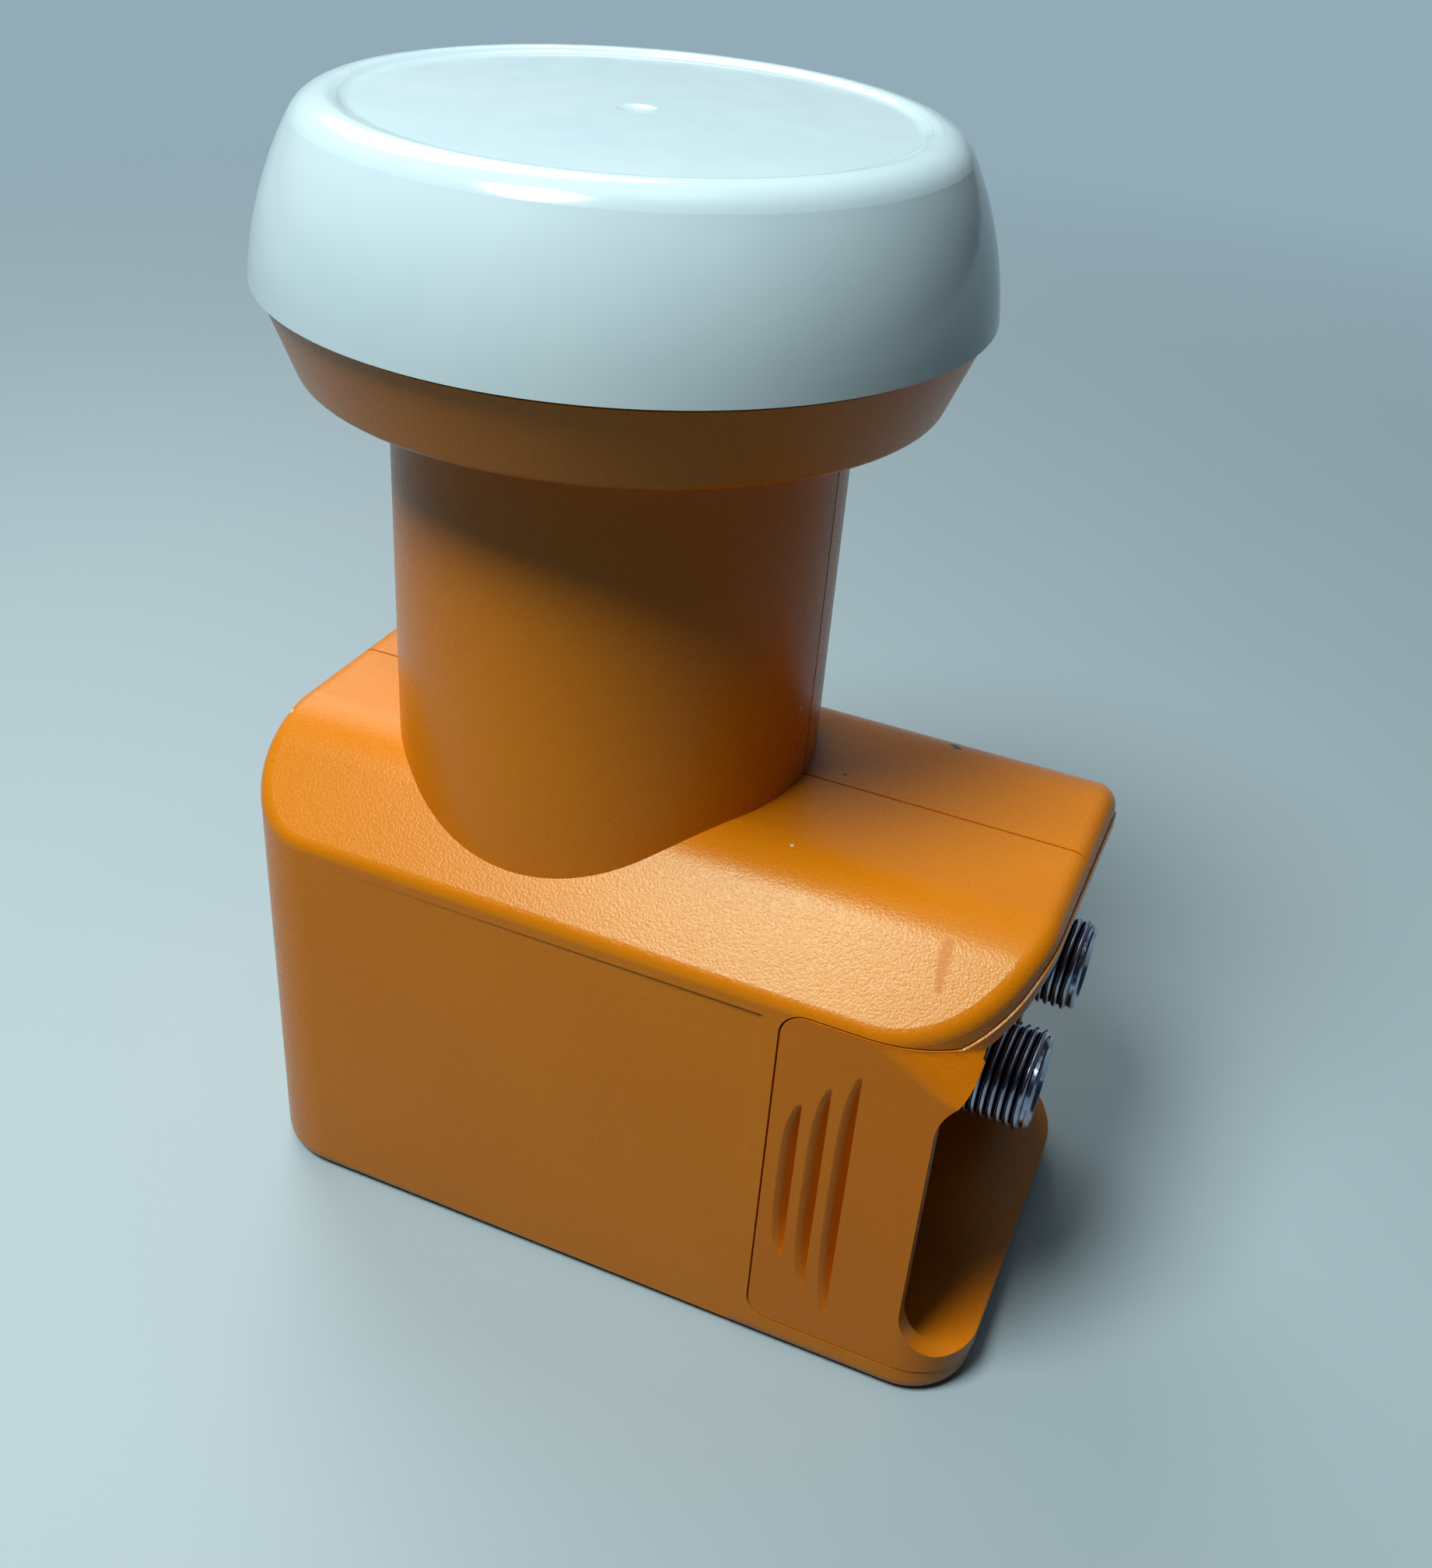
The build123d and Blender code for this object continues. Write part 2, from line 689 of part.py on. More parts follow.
with BuildPart() as circuit_board:
    with BuildSketch(Plane.XY.offset(board_low)):
        with Locations((box_middle, 0)):
            Rectangle(
                box_right + box_left - 2 * (box_wall + board_margin),
                2 * (box_half_width - box_wall - board_margin),
            )
        with Locations(*screw_places):
            Circle(boss_radius + board_margin, mode=Mode.SUBTRACT)
            Rectangle(2 * boss_radius, 2 * boss_radius, mode=Mode.SUBTRACT)
        with Locations(*boss_places):
            Circle(screw_radius + fit, mode=Mode.SUBTRACT)
    extrude(amount=board_thickness)


def bent_pin(plane: Plane, height: float) -> Part:
    """Pick-up pin: a reach into the waveguide, a bend and a leg down to the board."""
    corner = (probe_leg - probe_bend, height)
    with BuildPart() as pin:
        with BuildLine(plane) as path:
            reach = Line((waveguide_radius - probe_reach, height), corner)
            bend = TangentArc(corner, (probe_leg, height - probe_bend), tangent=reach % 1)
            Line(bend @ 1, (probe_leg, board_top))
        with BuildSketch(Plane(origin=path.line @ 0, z_dir=path.line % 0)):
            Circle(probe_radius)
        sweep()
    return pin.part


def pin_sleeve(plane: Plane, outwards: int, height: float) -> Part:
    """Insulating sleeve of a pick-up pin, filling its hole in the tube's wall."""
    with BuildPart() as sleeve:
        with BuildSketch(plane.offset(outwards * waveguide_radius)):
            with Locations((0, height)):
                Circle(sleeve_radius)
                Circle(probe_radius + fit, mode=Mode.SUBTRACT)
        extrude(amount=outwards * (waveguide_wall + slip))
    return sleeve.part


def screw(place: tuple[float, float], seat: float, length: float) -> Part:
    """Screw with its head under the seat and its shank going up."""
    with BuildPart() as part:
        with BuildSketch(Plane.XY.offset(seat - screw_head)):
            with Locations(place):
                Circle(screw_head_radius)
        extrude(amount=screw_head)
        with BuildSketch(Plane.XY.offset(seat)):
            with Locations(place):
                Circle(screw_radius)
        extrude(amount=length)
    return part.part


def block(place: tuple[float, float], size: tuple[float, float, float]) -> Part:
    """Packaged part standing on the board, with its top edges broken."""
    with BuildPart() as part:
        with BuildSketch(Plane.XY.offset(board_top)):
            with Locations(place):
                Rectangle(size[0], size[1])
        extrude(amount=size[2])
        chamfer(part.faces().sort_by(Axis.Z)[-1].edges(), length=chip_chamfer)
    return part.part


def axle_plane(side: int) -> Plane:
    """Plane through a connector's axis: local x runs along +X and local y is the radius."""
    axle = (0, side * connector_half_pitch, connector_height)
    return Plane(origin=axle, x_dir=(1, 0, 0), z_dir=(0, -1, 0))


def connector_body(side: int) -> Part:
    """Threaded connector: shank in the casting's wall, flange and barrel, with a bore through it."""
    plane = axle_plane(side)
    with BuildPart() as body:
        with BuildSketch(plane):
            with BuildLine():
                Polyline(
                    (box_right - box_wall, connector_bore),
                    (box_right - box_wall, connector_shank_radius),
                    (box_right, connector_shank_radius),
                    (box_right, connector_flange_radius),
                    (box_right + connector_flange, connector_flange_radius),
                    (box_right + connector_flange, connector_collar_radius),
                    (collar_face, connector_collar_radius),
                    (collar_face, connector_radius),
                    (connector_tip - connector_lead_in, connector_radius),
                    (connector_tip, connector_radius - connector_lead_in),
                    (connector_tip, connector_bore),
                    close=True,
                )
            make_face()
        revolve(axis=Axis(plane.origin, (1, 0, 0)))
    return body.part


def barrel(side: int, start: float, end: float, outer: float, inner: float) -> Part:
    """Plain ring on a connector's axis."""
    with BuildPart() as ring:
        with BuildSketch(Plane.YZ.offset(start)):
            with Locations((side * connector_half_pitch, connector_height)):
                Circle(outer)
                Circle(inner, mode=Mode.SUBTRACT)
        extrude(amount=end - start)
    return ring.part


def centre_contact(side: int) -> Part:
    """Centre contact: a pin that lies on the board and ends in a socket inside the insulator."""
    with BuildPart() as contact:
        with BuildSketch(Plane.YZ.offset(contact_start)):
            with Locations((side * connector_half_pitch, connector_height)):
                Circle(contact_radius)
        extrude(amount=contact_end - contact_start)
        with BuildSketch(Plane.YZ.offset(contact_end)):
            with Locations((side * connector_half_pitch, connector_height)):
                Circle(contact_socket)
        extrude(amount=-contact_socket_depth, mode=Mode.SUBTRACT)
    return contact.part


with BuildPart() as isolation_pin:
    with BuildSketch(Plane.XZ.offset(-tube_radius + slip)):
        with Locations((0, isolation_height)):
            Circle(isolation_radius)
    extrude(amount=2 * (tube_radius - slip))

pieces = {
    "front_shell": front_shell.part,
    "rear_shell": rear_shell.part,
    "weather_cover": weather_cover.part,
    "horn_cap": horn_cap.part,
    "cap_seal": cap_seal.part,
    "feed_casting": feed_casting.part,
    "casting_lid": casting_lid.part,
    "lid_gasket": lid_gasket.part,
    "circuit_board": circuit_board.part,
    "isolation_pin": isolation_pin.part,
    "probe_h": bent_pin(Plane.XZ, probe_h_height),
    "probe_v": bent_pin(Plane.YZ, probe_v_height),
    "sleeve_h": pin_sleeve(Plane.YZ, 1, probe_h_height),
    "sleeve_v": pin_sleeve(Plane.XZ, -1, probe_v_height),
    "downconverter_chip": block(chip_place, chip_size),
    "crystal_can": block(crystal_place, crystal_size),
}

for number, place in enumerate(screw_places, start=1):
    pieces[f"lid_screw_{number}"] = screw(place, lid_low, box_rim_height - lid_low + screw_grip - slip)

for number, place in enumerate(boss_places, start=1):
    pieces[f"board_screw_{number}"] = screw(place, board_low, board_thickness + screw_grip - slip)

for side, name in ((-1, "front"), (1, "rear")):
    pieces[f"connector_{name}"] = connector_body(side)
    pieces[f"insulator_{name}"] = barrel(
        side, insulator_end - insulator_length, insulator_end, connector_bore - fit, insulator_hole
    )
    pieces[f"contact_{name}"] = centre_contact(side)
    pieces[f"connector_seal_{name}"] = barrel(
        side, bulkhead_left, bulkhead_right, seal_outer_radius, connector_collar_radius + fit
    )
    pieces[f"regulator_{name}"] = block((regulator_x, side * regulator_y), regulator_size)

for name, piece in pieces.items():
    piece.label = name
    export_step(piece, f"parts/{name}.step")
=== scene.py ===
"""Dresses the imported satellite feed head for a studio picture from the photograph's viewpoint.

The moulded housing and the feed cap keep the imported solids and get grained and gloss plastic. The sliding
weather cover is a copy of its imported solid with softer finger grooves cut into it. The threaded outlets are
made here, with a cut thread wound on by geometry nodes.
"""

import json
import logging
import math
from dataclasses import dataclass
from enum import Enum
from typing import Any, Sequence

import bmesh
import bpy
from mathutils import Matrix, Vector


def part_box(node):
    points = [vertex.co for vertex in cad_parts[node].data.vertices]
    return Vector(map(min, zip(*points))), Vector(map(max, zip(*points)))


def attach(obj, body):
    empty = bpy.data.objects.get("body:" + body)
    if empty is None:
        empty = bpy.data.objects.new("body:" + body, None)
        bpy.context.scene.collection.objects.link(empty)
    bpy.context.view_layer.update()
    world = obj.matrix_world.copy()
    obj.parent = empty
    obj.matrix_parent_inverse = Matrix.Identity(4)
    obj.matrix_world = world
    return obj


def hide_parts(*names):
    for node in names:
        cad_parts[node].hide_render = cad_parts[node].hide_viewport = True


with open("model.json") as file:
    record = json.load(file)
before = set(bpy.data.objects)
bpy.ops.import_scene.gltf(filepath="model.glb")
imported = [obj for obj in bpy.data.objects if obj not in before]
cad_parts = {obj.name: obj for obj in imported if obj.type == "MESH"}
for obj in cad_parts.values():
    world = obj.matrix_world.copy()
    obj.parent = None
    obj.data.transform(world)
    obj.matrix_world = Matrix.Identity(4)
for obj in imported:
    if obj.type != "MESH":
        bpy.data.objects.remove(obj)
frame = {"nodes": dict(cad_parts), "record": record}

Colour = tuple[float, float, float]
Point = tuple[float, float, float]
Spot = tuple[Point, float]

LOG = logging.getLogger("feed_head")
MM = 0.001
COVER_NODE = "weather_cover"
GRAIN_SPAN = (0.3, 0.7)
CLOUD_SPAN = (0.35, 0.65)
SPUN_CREASE = math.radians(35)


class Body(Enum):
    """The two bodies of the part."""

    HOUSING = "housing"
    COVER = "cover"


class Side(Enum):
    """Which of the two outlets is meant, by the sign of its place across the housing."""

    FRONT = -1
    REAR = 1

    @property
    def word(self) -> str:
        """Ending of the side's node names."""
        return self.name.lower()


def tint(red: int, green: int, blue: int) -> Colour:
    """Turns a screen colour into the linear colour that shaders use.

    Args:
        red: Red from 0 to 255.
        green: Green from 0 to 255.
        blue: Blue from 0 to 255.

    Returns:
        The three linear values from 0 to 1.
    """

    def linear(level: int) -> float:
        """One channel, by the usual curve."""
        share = level / 255
        return share / 12.92 if share <= 0.04045 else ((share + 0.055) / 1.055) ** 2.4

    return linear(red), linear(green), linear(blue)


def mix_colours(
    tree: bpy.types.NodeTree, share: bpy.types.NodeSocket, *sides: Colour | bpy.types.NodeSocket
) -> bpy.types.NodeSocket:
    """Mixes two colours in a node tree.

    Args:
        tree: Tree that gets the node.
        share: How much of the second colour shows.
        sides: The two colours, each a value or a socket.

    Returns:
        The mixed colour.
    """
    node = tree.nodes.new("ShaderNodeMix")
    node.data_type = "RGBA"
    factor, first, second = (node.inputs[place] for place in (0, 6, 7))
    tree.links.new(share, factor)
    for socket, side in zip((first, second), sides):
        if isinstance(side, tuple):
            socket.default_value = (*side, 1.0)
        else:
            tree.links.new(side, socket)
    return node.outputs[2]


class Palette:
    """Lays out the nodes of one material around a Principled shader."""

    def __init__(self, name: str) -> None:
        """Starts a material whose patterns read Object coordinates.

        Args:
            name: Name of the material.
        """
        self.material = bpy.data.materials.new(name)
        self.material.use_nodes = True
        self.nodes = self.material.node_tree.nodes
        self.links = self.material.node_tree.links
        self.nodes.clear()
        self.shader = self.nodes.new("ShaderNodeBsdfPrincipled")
        self.output = self.nodes.new("ShaderNodeOutputMaterial")
        self.links.new(self.shader.outputs["BSDF"], self.output.inputs["Surface"])
        self.place = self.nodes.new("ShaderNodeTexCoord").outputs["Object"]

    def set(self, **values: Any) -> None:
        """Sets sockets of the shader that are the same all over the surface."""
        for name, value in values.items():
            self.shader.inputs[name.replace("_", " ")].default_value = value

    def feed(self, socket: str, source: bpy.types.NodeSocket) -> None:
        """Links a pattern into a socket of the shader."""
        self.links.new(source, self.shader.inputs[socket])

    def noise(self, grain_mm: float, detail: float) -> bpy.types.NodeSocket:
        """Cloudy noise of a given grain.

        Args:
            grain_mm: Size of the grain in millimetres.
            detail: How many finer layers are added.

        Returns:
            The noise, around one half.
        """
        node = self.nodes.new("ShaderNodeTexNoise")
        node.inputs["Scale"].default_value = 1 / (grain_mm * MM)
        node.inputs["Detail"].default_value = detail
        self.links.new(self.place, node.inputs["Vector"])
        return node.outputs["Fac"]

    def spread(
        self, value: bpy.types.NodeSocket, low: float, high: float, start: float = 0.0, end: float = 1.0
    ) -> bpy.types.NodeSocket:
        """Maps a value from one range to another, held at the ends.

        Args:
            value: What is mapped.
            low: Value that gives start.
            high: Value that gives end.
            start: Result at low.
            end: Result at high.

        Returns:
            The mapped value.
        """
        node = self.nodes.new("ShaderNodeMapRange")
        node.inputs["From Min"].default_value = low
        node.inputs["From Max"].default_value = high
        node.inputs["To Min"].default_value = start
        node.inputs["To Max"].default_value = end
        self.links.new(value, node.inputs["Value"])
        return node.outputs["Result"]

    def work_out(self, operation: str, *values: Any) -> bpy.types.NodeSocket:
        """Works out one arithmetic step.

        Args:
            operation: Name of the Math node's operation.
            values: Sockets or numbers, in order.

        Returns:
            The result.
        """
        node = self.nodes.new("ShaderNodeMath")
        node.operation = operation
        for socket, value in zip(node.inputs, values):
            if isinstance(value, (int, float)):
                socket.default_value = value
            else:
                self.links.new(value, socket)
        return node.outputs["Value"]

    def blend(self, share: bpy.types.NodeSocket, first: Any, second: Any) -> bpy.types.NodeSocket:
        """Mixes two colours.

        Args:
            share: How much of the second colour shows.
            first: Colour or socket at share 0.
            second: Colour or socket at share 1.

        Returns:
            The mixed colour.
        """
        return mix_colours(self.material.node_tree, share, first, second)

    def distance(self, spot_mm: Point) -> bpy.types.NodeSocket:
        """Distance of the surface from a point.

        Args:
            spot_mm: The point in millimetres.

        Returns:
            The distance in metres.
        """
        node = self.nodes.new("ShaderNodeVectorMath")
        node.operation = "DISTANCE"
        self.links.new(self.place, node.inputs[0])
        node.inputs[1].default_value = tuple(MM * level for level in spot_mm)
        return node.outputs["Value"]

    def dot(self, spot_mm: Point, radius_mm: float) -> bpy.types.NodeSocket:
        """Mask of a small round mark.

        Args:
            spot_mm: Middle of the mark in millimetres.
            radius_mm: Its radius.

        Returns:
            One in the mark, fading to zero at its edge.
        """
        return self.spread(self.distance(spot_mm), 0.5 * radius_mm * MM, radius_mm * MM, 1.0, 0.0)

    def hoop(self, spot_mm: Point, radius_mm: float, width_mm: float) -> bpy.types.NodeSocket:
        """Mask of a thin ring.

        Args:
            spot_mm: Middle of the ring in millimetres.
            radius_mm: Its radius.
            width_mm: Width of the line.

        Returns:
            One on the line, fading to zero at its edges.
        """
        away = self.work_out("ABSOLUTE", self.work_out("SUBTRACT", self.distance(spot_mm), radius_mm * MM))
        return self.spread(away, 0.0, 0.5 * width_mm * MM, 1.0, 0.0)

    def relief(self, height: bpy.types.NodeSocket, depth_mm: float) -> bpy.types.NodeSocket:
        """Bumps the surface.

        Args:
            height: Height pattern from 0 to 1.
            depth_mm: Height of the pattern in millimetres.

        Returns:
            The bumped normal.
        """
        node = self.nodes.new("ShaderNodeBump")
        node.inputs["Distance"].default_value = depth_mm * MM
        self.links.new(height, node.inputs["Height"])
        return node.outputs["Normal"]


@dataclass(frozen=True)
class Marks:
    """Small signs of use: dark and pale specks, a matt scuff and a faint ring, in millimetres."""

    dark: tuple[Spot, ...] = ()
    pale: tuple[Spot, ...] = ()
    scuff: tuple[Spot, ...] = ()
    ring: tuple[Spot, ...] = ()
    soil: Colour = tint(40, 20, 12)
    bloom: Colour = tint(236, 222, 206)
    rubbed: Colour = tint(196, 112, 16)
    ring_width: float = 0.35
    ring_share: float = 0.2
    scuff_share: float = 0.4
    scuff_roughness: float = 0.12

    def worn(self, sheet: Palette) -> bpy.types.NodeSocket | None:
        """Mask of the scuff.

        Args:
            sheet: Palette of the material.

        Returns:
            One on the scuff and zero elsewhere, or None without a scuff.
        """
        mask = None
        for spot, radius in self.scuff:
            dot = sheet.dot(spot, radius)
            mask = dot if mask is None else sheet.work_out("MAXIMUM", mask, dot)
        return mask

    def lay(self, sheet: Palette, colour: bpy.types.NodeSocket) -> bpy.types.NodeSocket:
        """Lays the specks and rings over a colour.

        Args:
            sheet: Palette of the material.
            colour: Colour below the marks.

        Returns:
            The colour with its marks.
        """
        for spot, radius in self.dark:
            colour = sheet.blend(sheet.dot(spot, radius), colour, self.soil)
        for spot, radius in self.pale:
            colour = sheet.blend(sheet.dot(spot, radius), colour, self.bloom)
        for spot, radius in self.ring:
            line = sheet.work_out("MULTIPLY", sheet.hoop(spot, radius, self.ring_width), self.ring_share)
            colour = sheet.blend(line, colour, self.rubbed)
        return colour


@dataclass(frozen=True)
class GrainedPlastic:
    """Satin moulded plastic with the fine grain of a spark-eroded mould."""

    name: str
    colour: Colour
    deep: Colour
    grain_mm: float = 0.24
    grain_depth_mm: float = 0.03
    roughness: float = 0.29
    roughness_swing: float = 0.05
    cloud_mm: float = 16.0
    cloud_share: float = 0.4
    ior: float = 1.5
    specular: float = 0.31
    specular_tint: Colour = (0.74, 1.0, 0.72)
    marks: Marks = Marks()

    def material(self) -> bpy.types.Material:
        """Makes the material.

        Returns:
            The finished material.
        """
        sheet = Palette(self.name)
        grain = sheet.noise(self.grain_mm, 2.0)
        cloudy = sheet.spread(sheet.noise(self.cloud_mm, 1.0), *GRAIN_SPAN, 0.0, self.cloud_share)
        grainy = sheet.spread(grain, *GRAIN_SPAN, 0.0, 1.0 - self.cloud_share)
        shade = sheet.work_out("ADD", cloudy, grainy)
        colour = self.marks.lay(sheet, sheet.blend(shade, self.deep, self.colour))
        smooth, matt = self.roughness - self.roughness_swing, self.roughness + self.roughness_swing
        rough = sheet.spread(grain, *GRAIN_SPAN, smooth, matt)
        worn = self.marks.worn(sheet)
        if worn is not None:
            faint = sheet.work_out("MULTIPLY", worn, self.marks.scuff_share)
            colour = sheet.blend(faint, colour, self.marks.rubbed)
            added = sheet.work_out("MULTIPLY", worn, self.marks.scuff_roughness)
            rough = sheet.work_out("ADD", rough, added)
        sheet.feed("Base Color", colour)
        sheet.feed("Roughness", rough)
        sheet.feed("Normal", sheet.relief(grain, self.grain_depth_mm))
        sheet.set(IOR=self.ior, Specular_IOR_Level=self.specular, Specular_Tint=(*self.specular_tint, 1.0))
        return sheet.material


@dataclass(frozen=True)
class GlossPlastic:
    """Smooth glossy plastic with a faint moulding flow."""

    name: str
    colour: Colour
    deep: Colour
    roughness: float = 0.12
    flow_mm: float = 14.0
    smear_mm: float = 3.5
    smear_span: tuple[float, float] = (0.35, 0.75)
    smear_roughness: float = 0.08
    ripple_mm: float = 6.0
    ripple_depth_mm: float = 0.012
    ior: float = 1.49

    def material(self) -> bpy.types.Material:
        """Makes the material.

        Returns:
            The finished material.
        """
        sheet = Palette(self.name)
        flow = sheet.spread(sheet.noise(self.flow_mm, 2.0), *CLOUD_SPAN)
        sheet.feed("Base Color", sheet.blend(flow, self.deep, self.colour))
        smear = sheet.noise(self.smear_mm, 4.0)
        matt = self.roughness + self.smear_roughness
        sheet.feed("Roughness", sheet.spread(smear, *self.smear_span, self.roughness, matt))
        sheet.feed("Normal", sheet.relief(sheet.noise(self.ripple_mm, 1.0), self.ripple_depth_mm))
        sheet.set(IOR=self.ior)
        return sheet.material


@dataclass(frozen=True)
class WornMetal:
    """Plated or cast metal with a grain and a blotchy tone between two colours."""

    name: str
    colour: Colour
    deep: Colour
    roughness: float = 0.3
    grain_mm: float = 0.5
    grain_depth_mm: float = 0.004
    bloom_mm: float = 2.5
    smoother: float = 0.07
    rougher: float = 0.1

    def material(self) -> bpy.types.Material:
        """Makes the material.

        Returns:
            The finished material.
        """
        sheet = Palette(self.name)
        grain = sheet.noise(self.grain_mm, 4.0)
        bloom = sheet.spread(sheet.noise(self.bloom_mm, 3.0), *CLOUD_SPAN)
        sheet.feed("Base Color", sheet.blend(bloom, self.deep, self.colour))
        smooth, matt = self.roughness - self.smoother, self.roughness + self.rougher
        sheet.feed("Roughness", sheet.spread(grain, *GRAIN_SPAN, smooth, matt))
        sheet.feed("Normal", sheet.relief(grain, self.grain_depth_mm))
        sheet.set(Metallic=1.0)
        return sheet.material


@dataclass(frozen=True)
class DullCompound:
    """Rubber, laminate, ceramic or moulded compound without gloss."""

    name: str
    colour: Colour
    deep: Colour
    roughness: float = 0.6
    grain_mm: float = 0.4
    grain_depth_mm: float = 0.01
    roughness_swing: float = 0.08

    def material(self) -> bpy.types.Material:
        """Makes the material.

        Returns:
            The finished material.
        """
        sheet = Palette(self.name)
        grain = sheet.noise(self.grain_mm, 4.0)
        sheet.feed("Base Color", sheet.blend(sheet.spread(grain, *GRAIN_SPAN), self.deep, self.colour))
        smooth, matt = self.roughness - self.roughness_swing, self.roughness + self.roughness_swing
        sheet.feed("Roughness", sheet.spread(grain, *GRAIN_SPAN, smooth, matt))
        sheet.feed("Normal", sheet.relief(grain, self.grain_depth_mm))
        return sheet.material


USED = Marks(
    dark=(((30.95, 12.9, 48.8), 0.6), ((31.4, 12.3, 48.95), 0.55), ((23.5, 1.75, 49.3), 0.26)),
    pale=(((23.2, -11.3, 49.17), 0.2), ((-27.6, -12.9, 48.44), 0.3), ((19.84, -2.5, 57.44), 0.25)),
    scuff=(
        ((39.06, -15.8, 47.27), 0.75),
        ((39.1, -16.4, 46.8), 0.75),
        ((39.15, -17.0, 46.25), 0.7),
        ((39.23, -17.6, 45.76), 0.65),
        ((39.36, -18.2, 45.28), 0.55),
        ((39.5, -18.7, 44.84), 0.45),
    ),
    ring=(((42.67, -11.7, 49.1), 0.6),),
)
ORANGE = GrainedPlastic("orange_grain", tint(221, 133, 9), tint(212, 123, 7), marks=USED)
COVER_ORANGE = GrainedPlastic("orange_grain_cover", tint(218, 127, 9), tint(209, 117, 7))
WHITE = GlossPlastic("white_gloss", tint(199, 227, 231), tint(194, 223, 229))
RUBBER = DullCompound("black_rubber", tint(38, 38, 40), tint(26, 26, 28), roughness=0.7)
ALLOY = WornMetal(
    "cast_alloy", tint(186, 188, 190), tint(160, 162, 166), roughness=0.42, grain_mm=0.35, grain_depth_mm=0.02
)
LAMINATE = DullCompound("green_laminate", tint(34, 104, 62), tint(24, 84, 48), roughness=0.38, grain_mm=0.6)
BRASS = WornMetal("tinned_brass", tint(214, 188, 120), tint(188, 160, 96), roughness=0.28)
NICKEL = WornMetal("dark_nickel", tint(176, 182, 198), tint(140, 146, 166), roughness=0.16)
INSULATOR = DullCompound(
    "waxy_insulator", tint(228, 226, 214), tint(214, 210, 196), roughness=0.42, grain_mm=1.2, grain_depth_mm=0.004
)
ZINC = WornMetal("zinc_screw", tint(190, 192, 194), tint(164, 166, 170), roughness=0.3)
COMPOUND = DullCompound("chip_compound", tint(42, 42, 46), tint(30, 30, 33), roughness=0.55)
CAN = WornMetal("plated_can", tint(206, 206, 202), tint(186, 186, 184), roughness=0.25)
FINISHES: dict[str, GrainedPlastic | GlossPlastic | WornMetal | DullCompound] = {
    "orange_plastic": ORANGE,
    "white_plastic": WHITE,
    "seal_rubber": RUBBER,
    "cast_alloy": ALLOY,
    "board_laminate": LAMINATE,
    "pin_brass": BRASS,
    "plated_thread": NICKEL,
    "white_insulator": INSULATOR,
    "screw_steel": ZINC,
    "chip_black": COMPOUND,
    "can_metal": CAN,
}


def as_object(name: str, work: bmesh.types.BMesh) -> bpy.types.Object:
    """Turns a worked mesh into an object of the scene.

    Args:
        name: Name of the object.
        work: The mesh, which is freed.

    Returns:
        The new object.
    """
    mesh = bpy.data.meshes.new(name)
    work.to_mesh(mesh)
    work.free()
    piece = bpy.data.objects.new(name, mesh)
    bpy.context.scene.collection.objects.link(piece)
    return piece


def bake(piece: bpy.types.Object) -> None:
    """Replaces an object's mesh by its modifiers' result and removes them."""
    view = bpy.context.evaluated_depsgraph_get()
    plain = bpy.data.meshes.new_from_object(piece.evaluated_get(view))
    piece.modifiers.clear()
    piece.data = plain


def soften(piece: bpy.types.Object, crease: float) -> None:
    """Shades a mesh smooth, with sharp edges where it turns by more than an angle."""
    work = bmesh.new()
    work.from_mesh(piece.data)
    for face in work.faces:
        face.smooth = True
    for edge in work.edges:
        edge.smooth = edge.calc_face_angle(0.0) < crease
    work.to_mesh(piece.data)
    work.free()


def spun(name: str, outline: Sequence[tuple[float, float]], axle: Point, steps: int = 96) -> bpy.types.Object:
    """Turns a closed outline about an axle along X into a closed mesh.

    Args:
        name: Name of the object.
        outline: Points as place along X and radius, both in metres.
        axle: A point on the axle; its X is ignored.
        steps: Number of flats round the axle.

    Returns:
        The new object, with its place in its mesh.
    """
    work = bmesh.new()
    rings = []
    for turn in range(steps):
        angle = 2 * math.pi * turn / steps
        wide, high = math.cos(angle), math.sin(angle)
        rings.append(
            [
                work.verts.new((along, axle[1] + radius * wide, axle[2] + radius * high))
                for along, radius in outline
            ]
        )
    for turn in range(steps):
        here, there = rings[turn], rings[(turn + 1) % steps]
        for spot in range(len(outline)):
            after = (spot + 1) % len(outline)
            work.faces.new((here[spot], here[after], there[after], there[spot]))
    bmesh.ops.recalc_face_normals(work, faces=work.faces)
    piece = as_object(name, work)
    soften(piece, SPUN_CREASE)
    return piece


